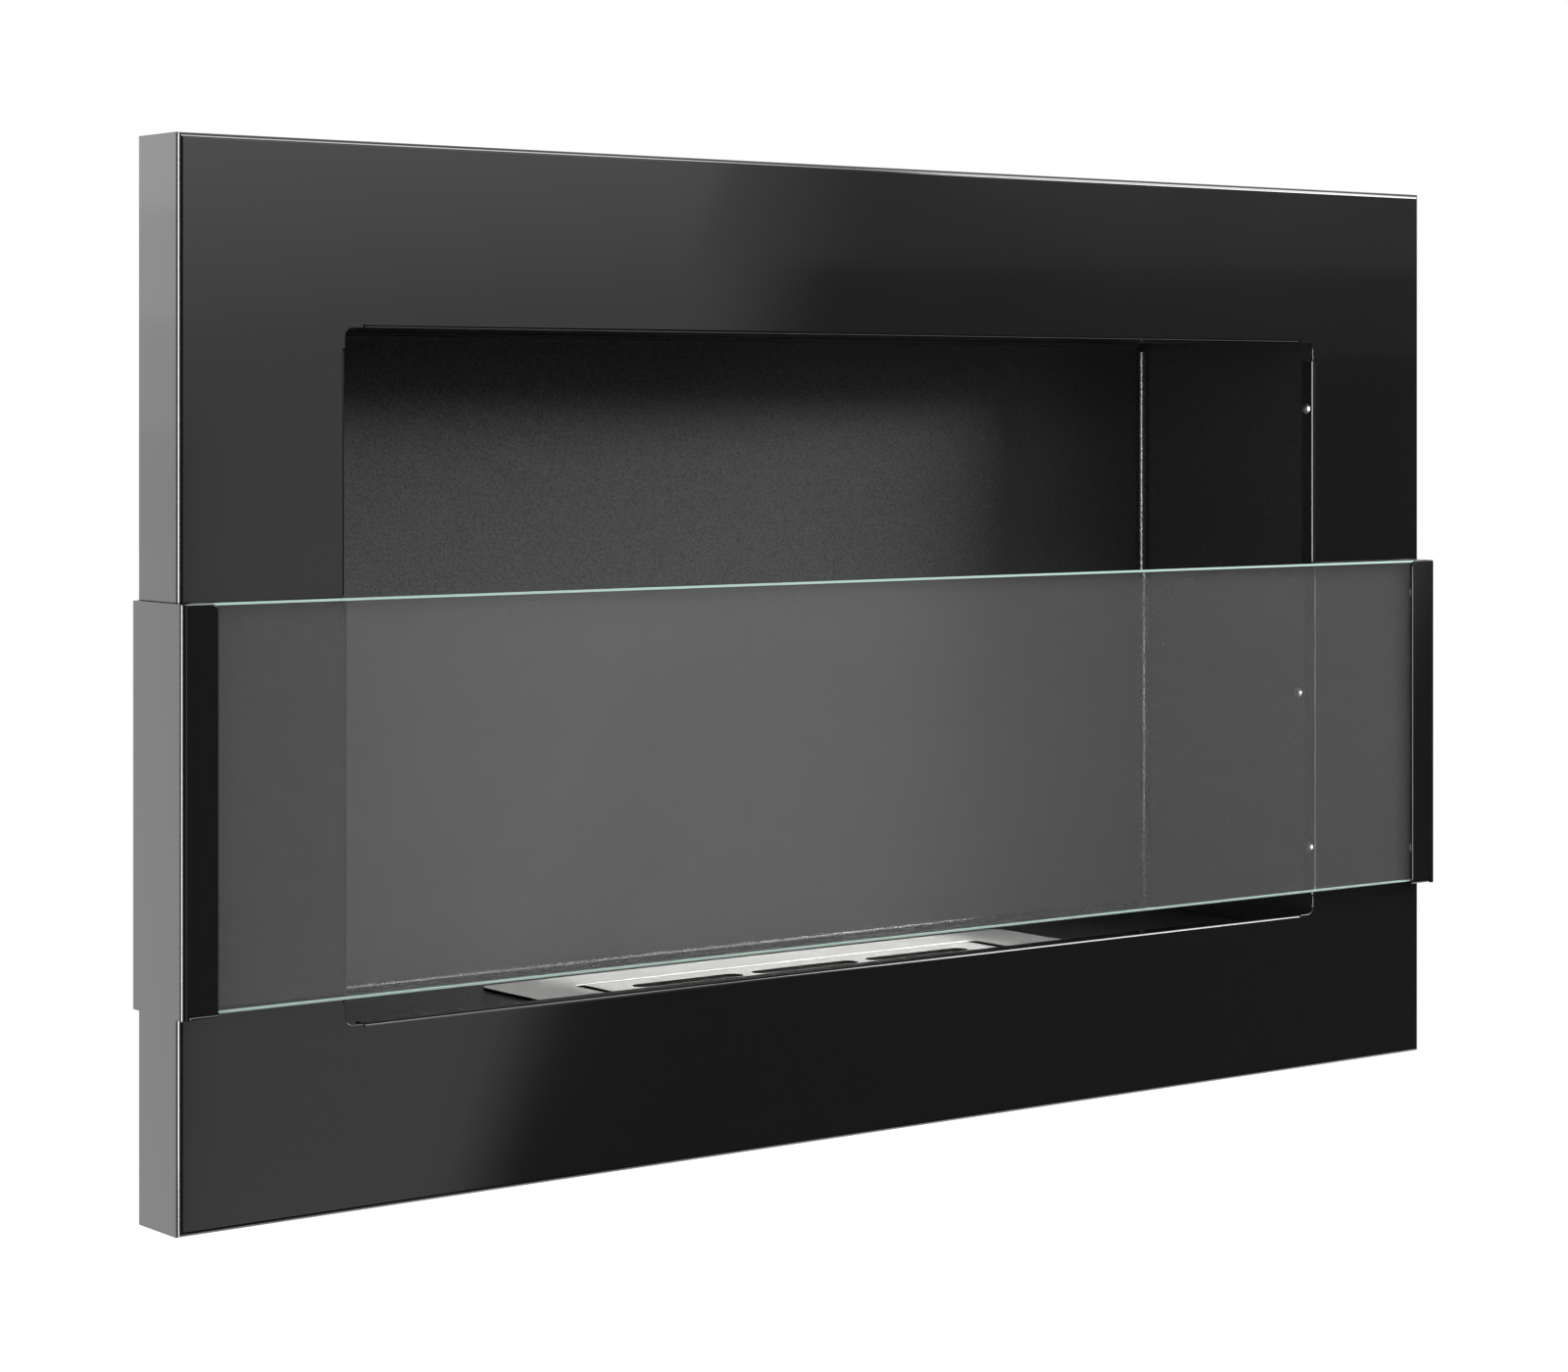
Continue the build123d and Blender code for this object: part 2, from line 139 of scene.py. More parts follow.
class FireplaceStudio(bpy.types.PropertyGroup):
    """The camera, the floor and the level of the light"""

    lens: FloatProperty(name="Lens", description="Focal length in millimetres", default=85.716, min=1)
    camera_x: length("Camera X", "How far left of the middle the camera stands", 0.9730)
    camera_y: length("Camera Y", "How far in front of the wall the camera stands", 1.3193)
    camera_z: length("Camera Z", "How far below the hanging screws the camera is", 0.0519)
    camera_turn: angle("Camera turn", "How far the camera turns to the right", 37.54)
    camera_shift: FloatProperty(name="Shift", description="Vertical shift of the lens", default=-0.1759)
    floor_drop: length("Floor drop", "How far the floor lies below the hanging screws", 1.35)
    ambient: FloatProperty(
        name="Ambient", description="Strength of the room's own light", default=0.12, min=0
    )


def add(tree, kind, inputs=None, **settings):
    """Adds a shader node with its settings, and fills each named input with a value or a link."""
    made = tree.nodes.new(kind)
    for name, value in settings.items():
        setattr(made, name, value)
    for socket, value in (inputs or {}).items():
        if isinstance(value, bpy.types.NodeSocket):
            tree.links.new(value, made.inputs[socket])
        else:
            made.inputs[socket].default_value = value
    return made


def new_material(name):
    """An empty material and its node tree."""
    material = bpy.data.materials.new(name)
    material.use_nodes = True
    material.node_tree.nodes.clear()
    return material, material.node_tree


def object_points(tree):
    """Points of the piece in metres, which ride with it."""
    return add(tree, "ShaderNodeTexCoord").outputs["Object"]


def per_metre(size):
    """The scale of a pattern whose cells are this many metres wide."""
    return 1 / size


def fine_skin(tree, size, depth, shine, dullness):
    """A fine noise with cells of this size, as a roughness between two levels and a relief of this depth."""
    grain = add(tree, "ShaderNodeTexNoise", {
        "Vector": object_points(tree), "Scale": per_metre(size), "Detail": 2.0,
    })
    roughness = add(tree, "ShaderNodeMapRange", {
        "Value": grain.outputs["Fac"], "To Min": shine, "To Max": dullness,
    })
    relief = add(tree, "ShaderNodeBump", {
        "Height": grain.outputs["Fac"], "Strength": 1.0, "Distance": depth,
    })
    return roughness.outputs["Result"], relief.outputs["Normal"]


def gloss_powder_coat(finishes, name, lean=0.0):
    """Polyester powder coat, sprayed and baked: a deep mirror with faint orange peel on slightly wavy sheet.

    With a lean, faces that look forward mirror the room as if they were pressed in towards the middle.
    """
    wave_depth = 0.04 * mm
    peel_depth = 0.002 * mm
    material, tree = new_material(name)
    points = object_points(tree)
    peel = add(tree, "ShaderNodeTexNoise", {
        "Vector": points, "Scale": per_metre(finishes.peel_size), "Detail": 1.0,
    })
    wave = add(tree, "ShaderNodeTexNoise", {
        "Vector": points, "Scale": per_metre(finishes.sheet_wave), "Detail": 0.0,
    })
    gloss = add(tree, "ShaderNodeMapRange", {
        "Value": wave.outputs["Fac"], "From Min": 0.3, "From Max": 0.7, "To Min": 0.05, "To Max": 0.075,
    })
    waviness = add(tree, "ShaderNodeBump", {
        "Height": wave.outputs["Fac"], "Strength": 1.0, "Distance": wave_depth,
    })
    if lean:
        place = add(tree, "ShaderNodeSeparateXYZ", {"Vector": points})
        outward = add(tree, "ShaderNodeMath", {0: place.outputs["X"]}, operation="ABSOLUTE")
        pressed = add(tree, "ShaderNodeBump", {
            "Height": outward.outputs["Value"], "Strength": 1.0, "Distance": math.tan(lean),
        })
        tree.links.new(pressed.outputs["Normal"], waviness.inputs["Normal"])
    dimples = add(tree, "ShaderNodeBump", {
        "Height": peel.outputs["Fac"], "Strength": 1.0, "Distance": peel_depth,
        "Normal": waviness.outputs["Normal"],
    })
    coat = add(tree, "ShaderNodeBsdfPrincipled", {
        "Base Color": finishes.gloss_black, "IOR": 1.47, "Roughness": gloss.outputs["Result"],
        "Normal": dimples.outputs["Normal"],
    })
    add(tree, "ShaderNodeOutputMaterial", {"Surface": coat.outputs["BSDF"]})
    return material


def satin_powder_coat(finishes):
    """Heat-resistant powder coat with a satin surface: dull, with a soft wide highlight and a fine pebble."""
    pebble_depth = 0.01 * mm
    material, tree = new_material("satin_black_heat_coat")
    points = object_points(tree)
    pebble = add(tree, "ShaderNodeTexNoise", {
        "Vector": points, "Scale": per_metre(finishes.texture_grain), "Detail": 2.0,
    })
    shine = add(tree, "ShaderNodeMapRange", {
        "Value": pebble.outputs["Fac"], "From Min": 0.3, "From Max": 0.7, "To Min": 0.26, "To Max": 0.36,
    })
    relief = add(tree, "ShaderNodeBump", {
        "Height": pebble.outputs["Fac"], "Strength": 1.0, "Distance": pebble_depth,
    })
    coat = add(tree, "ShaderNodeBsdfPrincipled", {
        "Base Color": finishes.satin_black, "IOR": 1.47, "Roughness": shine.outputs["Result"],
        "Normal": relief.outputs["Normal"],
    })
    add(tree, "ShaderNodeOutputMaterial", {"Surface": coat.outputs["BSDF"]})
    return material


def away_from_folds(tree, points):
    """1 on the flat of the liner, and 0 on the folds at its sides and its foot."""
    fold_width = 2.5 * mm
    flat_start = 4 * mm
    low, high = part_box("firebox_liner")
    place = add(tree, "ShaderNodeSeparateXYZ", {"Vector": points})
    outward = add(tree, "ShaderNodeMath", {0: place.outputs["X"]}, operation="ABSOLUTE")
    beside = add(tree, "ShaderNodeMath", {0: outward.outputs["Value"], 1: high.x}, operation="SUBTRACT")
    below = add(tree, "ShaderNodeMath", {0: low.z, 1: place.outputs["Z"]}, operation="SUBTRACT")
    past = add(tree, "ShaderNodeMath", {
        0: beside.outputs["Value"], 1: below.outputs["Value"],
    }, operation="MAXIMUM")
    flat = add(tree, "ShaderNodeMapRange", {
        "Value": past.outputs["Value"], "From Min": -fold_width, "From Max": -flat_start,
    })
    return flat.outputs["Result"]


def textured_powder_coat(finishes):
    """Fine-texture powder coat: crowded grains with a painted highlight on their tops and painted shade in
    their hollows, which make a grey veil.

    The grains are drawn about twice as wide as real ones, so that they show. On the folds they are rubbed
    smooth, so that the folds shine.
    """
    grain_depth = 0.025 * mm
    flat_dullness = 0.36
    material, tree = new_material("textured_black_heat_coat")
    points = object_points(tree)
    grain = add(tree, "ShaderNodeTexNoise", {
        "Vector": points, "Scale": per_metre(finishes.texture_grain), "Detail": 2.0, "Roughness": 0.5,
    })
    shade = add(tree, "ShaderNodeMapRange", {
        "Value": grain.outputs["Fac"], "From Min": 0.35, "From Max": 0.65,
    })
    # Painted highlight on the grains' tops and painted shade in their hollows, following the same noise as
    # their height
    tint = add(tree, "ShaderNodeMix", {
        "Factor": shade.outputs["Result"], "A": finishes.texture_hollow_shade, "B": finishes.texture_top_highlight,
    }, data_type="RGBA")
    flat = away_from_folds(tree, points)
    relief = add(tree, "ShaderNodeBump", {
        "Height": grain.outputs["Fac"], "Strength": flat, "Distance": grain_depth,
    })
    fold_shine = add(tree, "ShaderNodeMapRange", {
        "Value": shade.outputs["Result"], "To Min": 0.34, "To Max": 0.12,
    })
    roughness = add(tree, "ShaderNodeMath", {
        0: flat, 1: flat_dullness, 2: fold_shine.outputs["Result"],
    }, operation="MULTIPLY_ADD")
    coat = add(tree, "ShaderNodeBsdfPrincipled", {
        "Base Color": tint.outputs["Result"], "IOR": 1.5, "Roughness": roughness.outputs["Value"],
        "Normal": relief.outputs["Normal"],
    })
    add(tree, "ShaderNodeOutputMaterial", {"Surface": coat.outputs["BSDF"]})
    return material


def painted_edge_shade(tree, face_colour, shade_colour):
    """The colour of a flat sheet's faces, which gives way to painted shade where a face stands upright: dark
    lines at its edges and gaps.
    """
    turned = add(tree, "ShaderNodeTexCoord").outputs["Normal"]
    normal = add(tree, "ShaderNodeSeparateXYZ", {"Vector": turned})
    level = add(tree, "ShaderNodeMath", {0: normal.outputs["Z"]}, operation="ABSOLUTE")
    upright = add(tree, "ShaderNodeMapRange", {
        "Value": level.outputs["Value"], "From Min": 0.5, "From Max": 0.2,
    })
    whole = add(tree, "ShaderNodeMix", {
        "Factor": upright.outputs["Result"], "A": face_colour, "B": shade_colour,
    }, data_type="RGBA")
    return whole.outputs["Result"]


def brushed_stainless(finishes, name, shaded_edges):
    """Stainless sheet brushed along its length: fine lines that smear light across the brushing.

    The lines are drawn about three times as wide as real brush lines, so that they show. Heat has dulled the
    middle of the sheet. On a sheet with shaded edges, upright faces are painted dark as painted shade.
    """
    # Distances from the middle of the sheet
    dulled_end = 96 * mm
    bright_start = 118 * mm
    line_shine = 0.12
    scratch_depth = 0.02 * mm
    material, tree = new_material(name)
    points = object_points(tree)
    across = per_metre(finishes.brush_spacing)
    stretched = add(tree, "ShaderNodeMapping", {
        "Vector": points, "Scale": (per_metre(finishes.brush_length), across, across),
    })
    lines = add(tree, "ShaderNodeTexNoise", {
        "Vector": stretched.outputs["Vector"], "Scale": 1.0, "Detail": 3.0, "Roughness": 0.65,
    })
    tint = add(tree, "ShaderNodeMix", {
        "Factor": lines.outputs["Fac"], "A": finishes.steel_dull, "B": finishes.steel_bright,
    }, data_type="RGBA").outputs["Result"]
    # Upright faces are painted dark as painted shade
    if shaded_edges:
        tint = painted_edge_shade(tree, tint, finishes.steel_edge_shade)
    place = add(tree, "ShaderNodeSeparateXYZ", {"Vector": points})
    outward = add(tree, "ShaderNodeMath", {0: place.outputs["X"]}, operation="ABSOLUTE")
    dullness = add(tree, "ShaderNodeMapRange", {
        "Value": outward.outputs["Value"], "From Min": bright_start, "From Max": dulled_end,
        "To Min": 0.38, "To Max": 0.54,
    })
    roughness = add(tree, "ShaderNodeMath", {
        0: lines.outputs["Fac"], 1: -line_shine, 2: dullness.outputs["Result"],
    }, operation="MULTIPLY_ADD")
    scratches = add(tree, "ShaderNodeBump", {
        "Height": lines.outputs["Fac"], "Strength": 1.0, "Distance": scratch_depth,
    })
    across_lines = add(tree, "ShaderNodeCombineXYZ", {"Y": 1.0})
    steel = add(tree, "ShaderNodeBsdfPrincipled", {
        "Base Color": tint, "Metallic": 1.0, "Roughness": roughness.outputs["Value"],
        "Anisotropic": 0.85, "Tangent": across_lines.outputs["Vector"], "Normal": scratches.outputs["Normal"],
    })
    add(tree, "ShaderNodeOutputMaterial", {"Surface": steel.outputs["BSDF"]})
    return material


def drawn_rivet_steel(finishes):
    """Bright steel wire, pressed into domes: clean metal with a faint drawn grain."""
    material, tree = new_material("drawn_rivet_steel")
    roughness, normal = fine_skin(tree, size=1.0 * mm, depth=0.01 * mm, shine=0.18, dullness=0.32)
    steel = add(tree, "ShaderNodeBsdfPrincipled", {
        "Base Color": finishes.rivet_steel, "Metallic": 1.0, "Roughness": roughness, "Normal": normal,
    })
    add(tree, "ShaderNodeOutputMaterial", {"Surface": steel.outputs["BSDF"]})
    return material


def clear_glass(tree, tint):
    """The body of the pane, which bends what is seen through it and lets lamplight straight through."""
    bent = add(tree, "ShaderNodeBsdfRefraction", {"Color": tint, "IOR": 1.5, "Roughness": 0.0})
    straight = add(tree, "ShaderNodeBsdfTransparent", {"Color": tint})
    path = add(tree, "ShaderNodeLightPath").outputs
    clear = add(tree, "ShaderNodeMixShader", {
        0: path["Is Shadow Ray"], 1: bent.outputs["BSDF"], 2: straight.outputs["BSDF"],
    })
    return clear.outputs["Shader"]


def hazy_glass_face(tree, tint, points):
    """A face of the pane: clear glass with a weak mirror on its outside, under a thin film of haze."""
    # Lower than the glass's own index, so that the pane mirrors little of the room
    mirror_index = 1.14
    smear_size = 60 * mm
    # Where along the pane the film starts to thicken, and where it is full
    film_start = -260 * mm
    film_full = -160 * mm
    mirror = add(tree, "ShaderNodeBsdfGlossy", {"Color": (1, 1, 1, 1), "Roughness": 0.02})
    side = add(tree, "ShaderNodeNewGeometry")
    fresnel = add(tree, "ShaderNodeFresnel", {"IOR": mirror_index})
    outside = add(tree, "ShaderNodeMath", {0: 1.0, 1: side.outputs["Backfacing"]}, operation="SUBTRACT")
    shine = add(tree, "ShaderNodeMath", {
        0: fresnel.outputs["Fac"], 1: outside.outputs["Value"],
    }, operation="MULTIPLY")
    pane = add(tree, "ShaderNodeMixShader", {
        0: shine.outputs["Value"], 1: clear_glass(tree, tint), 2: mirror.outputs["BSDF"],
    })
    smear = add(tree, "ShaderNodeTexNoise", {
        "Vector": points, "Scale": per_metre(smear_size), "Detail": 2.0,
    })
    place = add(tree, "ShaderNodeSeparateXYZ", {"Vector": points})
    film_edge = add(tree, "ShaderNodeMath", {
        0: smear.outputs["Fac"], 1: smear_size, 2: place.outputs["X"],
    }, operation="MULTIPLY_ADD")
    haze = add(tree, "ShaderNodeMapRange", {
        "Value": film_edge.outputs["Value"], "From Min": film_start, "From Max": film_full,
        "To Min": 0.018, "To Max": 0.0225,
    })
    film = add(tree, "ShaderNodeBsdfDiffuse", {"Color": (1, 1, 1, 1)})
    face = add(tree, "ShaderNodeMixShader", {
        0: haze.outputs["Result"], 1: pane.outputs["Shader"], 2: film.outputs["BSDF"],
    })
    return face.outputs["Shader"]


def ground_glass_edge(tree, tint, points):
    """An edge of the pane: pale and frosted by the grit of the grinding wheel."""
    grit_size = 0.4 * mm
    grit_depth = 0.02 * mm
    grit = add(tree, "ShaderNodeTexNoise", {
        "Vector": points, "Scale": per_metre(grit_size), "Detail": 1.0,
    })
    relief = add(tree, "ShaderNodeBump", {
        "Height": grit.outputs["Fac"], "Strength": 1.0, "Distance": grit_depth,
    })
    edge = add(tree, "ShaderNodeBsdfPrincipled", {
        "Base Color": tint, "IOR": 1.5, "Roughness": 0.3, "Normal": relief.outputs["Normal"],
    })
    return edge.outputs["BSDF"]


def toughened_glass(finishes):
    """Toughened float glass with ground edges: clear faces with a slight haze, and pale frosted edges."""
    material, tree = new_material("toughened_float_glass")
    coordinates = add(tree, "ShaderNodeTexCoord").outputs
    normal = add(tree, "ShaderNodeSeparateXYZ", {"Vector": coordinates["Normal"]})
    facing = add(tree, "ShaderNodeMath", {0: normal.outputs["Y"]}, operation="ABSOLUTE")
    ground = add(tree, "ShaderNodeMath", {0: facing.outputs["Value"], 1: 0.9}, operation="LESS_THAN")
    whole = add(tree, "ShaderNodeMixShader", {
        0: ground.outputs["Value"],
        1: hazy_glass_face(tree, finishes.glass_tint, coordinates["Object"]),
        2: ground_glass_edge(tree, finishes.glass_edge, coordinates["Object"]),
    })
    add(tree, "ShaderNodeOutputMaterial", {"Surface": whole.outputs["Shader"]})
    return material


def moulded_silicone(finishes):
    """Clear silicone rubber, moulded: milky and soft, with a dull skin."""
    material, tree = new_material("moulded_clear_silicone")
    roughness, normal = fine_skin(tree, size=0.8 * mm, depth=0.01 * mm, shine=0.35, dullness=0.5)
    rubber = add(tree, "ShaderNodeBsdfPrincipled", {
        "Base Color": finishes.silicone, "IOR": 1.41, "Roughness": roughness,
        "Transmission Weight": 0.6, "Normal": normal,
    })
    add(tree, "ShaderNodeOutputMaterial", {"Surface": rubber.outputs["BSDF"]})
    return material


def moulded_rubber(finishes):
    """Black rubber, moulded: matt, with a fine spark-eroded skin from the mould."""
    material, tree = new_material("moulded_black_rubber")
    roughness, normal = fine_skin(tree, size=0.6 * mm, depth=0.03 * mm, shine=0.65, dullness=0.85)
    rubber = add(tree, "ShaderNodeBsdfPrincipled", {
        "Base Color": finishes.rubber, "IOR": 1.52, "Roughness": roughness, "Normal": normal,
    })
    add(tree, "ShaderNodeOutputMaterial", {"Surface": rubber.outputs["BSDF"]})
    return material


def ceramic_fibre(finishes):
    """Vacuum-formed ceramic fibre: dry, white and fluffy, with short tufts that lie every way."""
    tuft_bend = 2 * mm
    tuft_depth = 0.5 * mm
    tuft_stretch = 5
    material, tree = new_material("formed_ceramic_fibre")
    points = object_points(tree)
    bend = add(tree, "ShaderNodeTexNoise", {
        "Vector": points, "Scale": per_metre(4 * finishes.fibre_size), "Detail": 1.0,
    })
    bent = add(tree, "ShaderNodeVectorMath", {
        0: bend.outputs["Color"], 1: (tuft_bend, tuft_bend, tuft_bend), 2: points,
    }, operation="MULTIPLY_ADD")
    across = per_metre(finishes.fibre_size)
    stretched = add(tree, "ShaderNodeMapping", {
        "Vector": bent.outputs["Vector"], "Scale": (across / tuft_stretch, across, across),
    })
    tufts = add(tree, "ShaderNodeTexNoise", {
        "Vector": stretched.outputs["Vector"], "Scale": 1.0, "Detail": 4.0, "Roughness": 0.7,
    })
    # Painted highlight on the tufts' ridges and painted shade in their hollows, following the same noise as
    # their height
    tint = add(tree, "ShaderNodeMix", {
        "Factor": tufts.outputs["Fac"], "A": finishes.fibre_hollow_shade, "B": finishes.fibre_ridge_highlight,
    }, data_type="RGBA")
    relief = add(tree, "ShaderNodeBump", {
        "Height": tufts.outputs["Fac"], "Strength": 1.0, "Distance": tuft_depth,
    })
    wool = add(tree, "ShaderNodeBsdfPrincipled", {
        "Base Color": tint.outputs["Result"], "IOR": 1.5, "Roughness": 0.95,
        "Normal": relief.outputs["Normal"],
    })
    add(tree, "ShaderNodeOutputMaterial", {"Surface": wool.outputs["BSDF"]})
    return material


def dress(names, material):
    """Gives each named CAD node this one material."""
    for name in names:
        mesh = nodes[name].data
        mesh.materials.clear()
        mesh.materials.append(material)


def fibre_block_mesh(low, high):
    """A soft-edged block inside a box, its skin dented by up to a tuft's depth."""
    tuft_depth = 0.6 * mm
    tuft_width = 4 * mm
    cuts = 11
    # Points of the cube past this distance from its middle are drawn in, which rounds its edges
    round_from = 1.2
    round_share = 0.025
    middle = (low + high) / 2
    half = (high - low) / 2
    shape = bmesh.new()
    bmesh.ops.create_cube(shape, size=2.0)
    bmesh.ops.subdivide_edges(shape, edges=shape.edges[:], cuts=cuts, use_grid_fill=True)
    for vertex in shape.verts:
        rounded = vertex.co * (1 - round_share * max(0.0, vertex.co.length - round_from))
        point = middle + Vector(a * b for a, b in zip(rounded, half))
        dent = tuft_depth * (0.5 + 0.5 * noise.noise(point / tuft_width))
        vertex.co = point - vertex.co.normalized() * dent
    for face in shape.faces:
        face.smooth = True
    mesh = bpy.data.meshes.new("fibre_block")
    shape.to_mesh(mesh)
    shape.free()
    return mesh


class FIREPLACE_OT_front_frame(bpy.types.Operator):
    """Coats the folded front frame and the clips in gloss black"""

    bl_idname = "fireplace.front_frame"
    bl_label = "Coat front frame"

    def execute(self, context):
        finishes = context.scene.fireplace_finishes
        dress(["front_frame"], gloss_powder_coat(finishes, "gloss_black_powder_coat"))
        dress(glass_clips, gloss_powder_coat(finishes, "gloss_black_clip_coat", finishes.flange_lean))
        return {"FINISHED"}


class FIREPLACE_OT_firebox(bpy.types.Operator):
    """Coats the firebox sheets and brackets in satin black, and the liner in its textured coat"""

    bl_idname = "fireplace.firebox"
    bl_label = "Coat firebox"

    def execute(self, context):
        finishes = context.scene.fireplace_finishes
        dress(firebox_sheets, satin_powder_coat(finishes))
        dress(["firebox_liner"], textured_powder_coat(finishes))
        return {"FINISHED"}


class FIREPLACE_OT_rivets(bpy.types.Operator):
    """Gives the rivets their bright steel"""

    bl_idname = "fireplace.rivets"
    bl_label = "Finish rivets"

    def execute(self, context):
        dress(rivets, drawn_rivet_steel(context.scene.fireplace_finishes))
        return {"FINISHED"}


class FIREPLACE_OT_burner(bpy.types.Operator):
    """Brushes the burner's tray, top plate and rails, and the loose flame plate"""

    bl_idname = "fireplace.burner"
    bl_label = "Brush burner"

    def execute(self, context):
        finishes = context.scene.fireplace_finishes
        dress(burner_box, brushed_stainless(finishes, "brushed_stainless_steel", shaded_edges=False))
        dress(burner_plates, brushed_stainless(finishes, "shaded_edge_stainless_plate", shaded_edges=True))
        return {"FINISHED"}


class FIREPLACE_OT_fibre_block(bpy.types.Operator):
    """Makes the ceramic fibre block in the burner's tray"""

    bl_idname = "fireplace.fibre_block"
    bl_label = "Make fibre block"

    def execute(self, context):
        block = bpy.data.objects.new("fibre_block", fibre_block_mesh(*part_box("ceramic_wool")))
        context.scene.collection.objects.link(block)
        block.data.materials.append(ceramic_fibre(context.scene.fireplace_finishes))
        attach(block, "burner")
        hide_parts("ceramic_wool")
        return {"FINISHED"}


class FIREPLACE_OT_glass(bpy.types.Operator):
    """Finishes the glass pane and the silicone discs behind it"""

    bl_idname = "fireplace.glass"
    bl_label = "Finish glass"

    def execute(self, context):
        finishes = context.scene.fireplace_finishes
        dress(["glass_pane"], toughened_glass(finishes))
        dress(["glass_bumpers"], moulded_silicone(finishes))
        return {"FINISHED"}


class FIREPLACE_OT_wall_buffers(bpy.types.Operator):
    """Gives the buffers behind the back sheet their rubber"""

    bl_idname = "fireplace.wall_buffers"
    bl_label = "Finish wall buffers"

    def execute(self, context):
        dress(["wall_buffers"], moulded_rubber(context.scene.fireplace_finishes))
        return {"FINISHED"}


def seen_rays(tree):
    """1 for rays from the camera, mirrors and glass, and 0 for rays that light a matt surface."""
    path = add(tree, "ShaderNodeLightPath").outputs
    direct = add(tree, "ShaderNodeMath", {
        0: path["Is Camera Ray"], 1: path["Is Glossy Ray"],
    }, operation="MAXIMUM")
    seen = add(tree, "ShaderNodeMath", {
        0: direct.outputs["Value"], 1: path["Is Transmission Ray"],
    }, operation="MAXIMUM")
    first = add(tree, "ShaderNodeMath", {0: path["Diffuse Depth"], 1: 0.5}, operation="LESS_THAN")
    sight = add(tree, "ShaderNodeMath", {
        0: seen.outputs["Value"], 1: first.outputs["Value"],
    }, operation="MULTIPLY")
    return sight.outputs["Value"]


def white_room(studio):
    """A world that is white to the eye and lights the object at the ambient level."""
    world = bpy.data.worlds.new("white_room")
    world.use_nodes = True
    tree = world.node_tree
    tree.nodes.clear()
    strength = add(tree, "ShaderNodeMapRange", {
        "Value": seen_rays(tree), "To Min": studio.ambient, "To Max": 1.0,
    })
    room = add(tree, "ShaderNodeBackground", {"Color": (1, 1, 1, 1), "Strength": strength.outputs["Result"]})
    add(tree, "ShaderNodeOutputWorld", {"Surface": room.outputs["Background"]})
    return world


def white_floor_paper():
    """Matt white paper: it keeps a shadow, and a share of its own white fills up to the background."""
    own_white = 0.86
    material, tree = new_material("white_floor_paper")
    glow = add(tree, "ShaderNodeMath", {0: seen_rays(tree), 1: own_white}, operation="MULTIPLY")
    paper = add(tree, "ShaderNodeBsdfPrincipled", {
        "Base Color": (0.9, 0.9, 0.9, 1), "Roughness": 1.0,
        "Emission Color": (1, 1, 1, 1), "Emission Strength": glow.outputs["Value"],
    })
    add(tree, "ShaderNodeOutputMaterial", {"Surface": paper.outputs["BSDF"]})
    return material


def card_cloth(name, level):
    """Cloth on a card, which gloss coats mirror at this level: below 1 it is grey, and above 1 it glows."""
    material, tree = new_material(f"{name}_cloth")
    cloth = add(tree, "ShaderNodeEmission", {"Color": (1, 1, 1, 1), "Strength": level})
    add(tree, "ShaderNodeOutputMaterial", {"Surface": cloth.outputs["Emission"]})
    return material


def bearing(azimuth, elevation, distance):
    """A point round the middle of the fireplace, from straight in front towards the right, in degrees."""
    middle = (cad_box[0] + cad_box[1]) / 2
    turn = math.radians(azimuth)
    rise = math.radians(elevation)
    outward = Vector((math.sin(turn) * math.cos(rise), -math.cos(turn) * math.cos(rise), math.sin(rise)))
    return middle + distance * outward


class Softbox(NamedTuple):
    """An area lamp: its bearing and roll in degrees, its size in metres and its radiance"""

    name: str
    azimuth: float
    elevation: float
    width: float
    height: float
    radiance: float
    roll: float = 0.0


# The lamps, all at one distance from the middle of the fireplace
lamp_distance = 2.6
softboxes = (
    # The main lamp on the right, above what the top border mirrors
    Softbox("right_softbox", azimuth=57, elevation=14.5, width=1.5, height=0.38, radiance=32),
    # A leaning strip and a large box higher up
    Softbox("right_strip", azimuth=55, elevation=33, width=0.55, height=1.0, radiance=16, roll=-30),
    Softbox("top_softbox", azimuth=30, elevation=48, width=1.5, height=0.9, radiance=12),
    # A faint fill from the front
    Softbox("front_softbox", azimuth=15, elevation=19, width=1.76, height=0.62, radiance=2),
    # Light from the left on the returns and the bends
    Softbox("left_strip", azimuth=-76, elevation=-1, width=1.1, height=1.2, radiance=11),
    # What the left return mirrors: a panel, and three that add to it towards the top in steps
    Softbox("left_back_panel", azimuth=-150, elevation=-3, width=2.2, height=1.9, radiance=1.3),
    Softbox("left_back_top", azimuth=-150, elevation=16.5, width=2.2, height=0.9, radiance=0.4),
    Softbox("left_back_middle", azimuth=-150, elevation=14, width=2.2, height=0.9, radiance=0.3),
    Softbox("left_back_low", azimuth=-150, elevation=11.5, width=2.2, height=0.9, radiance=0.2),
)


def softbox(lamp):
    """Adds a lamp that faces the fireplace and that only mirrors and lit surfaces see."""
    light = bpy.data.lights.new(lamp.name, "AREA")
    light.shape = "RECTANGLE"
    light.size = lamp.width
    light.size_y = lamp.height
    light.energy = lamp.radiance * math.pi * lamp.width * lamp.height
    made = bpy.data.objects.new(lamp.name, light)
    made.location = bearing(lamp.azimuth, lamp.elevation, lamp_distance)
    aim = (bearing(0, 0, 0) - made.location).to_track_quat("-Z", "Y")
    made.rotation_euler = aim.to_euler()
    made.rotation_euler.rotate_axis("Z", math.radians(lamp.roll))
    made.visible_camera = False
    bpy.context.scene.collection.objects.link(made)


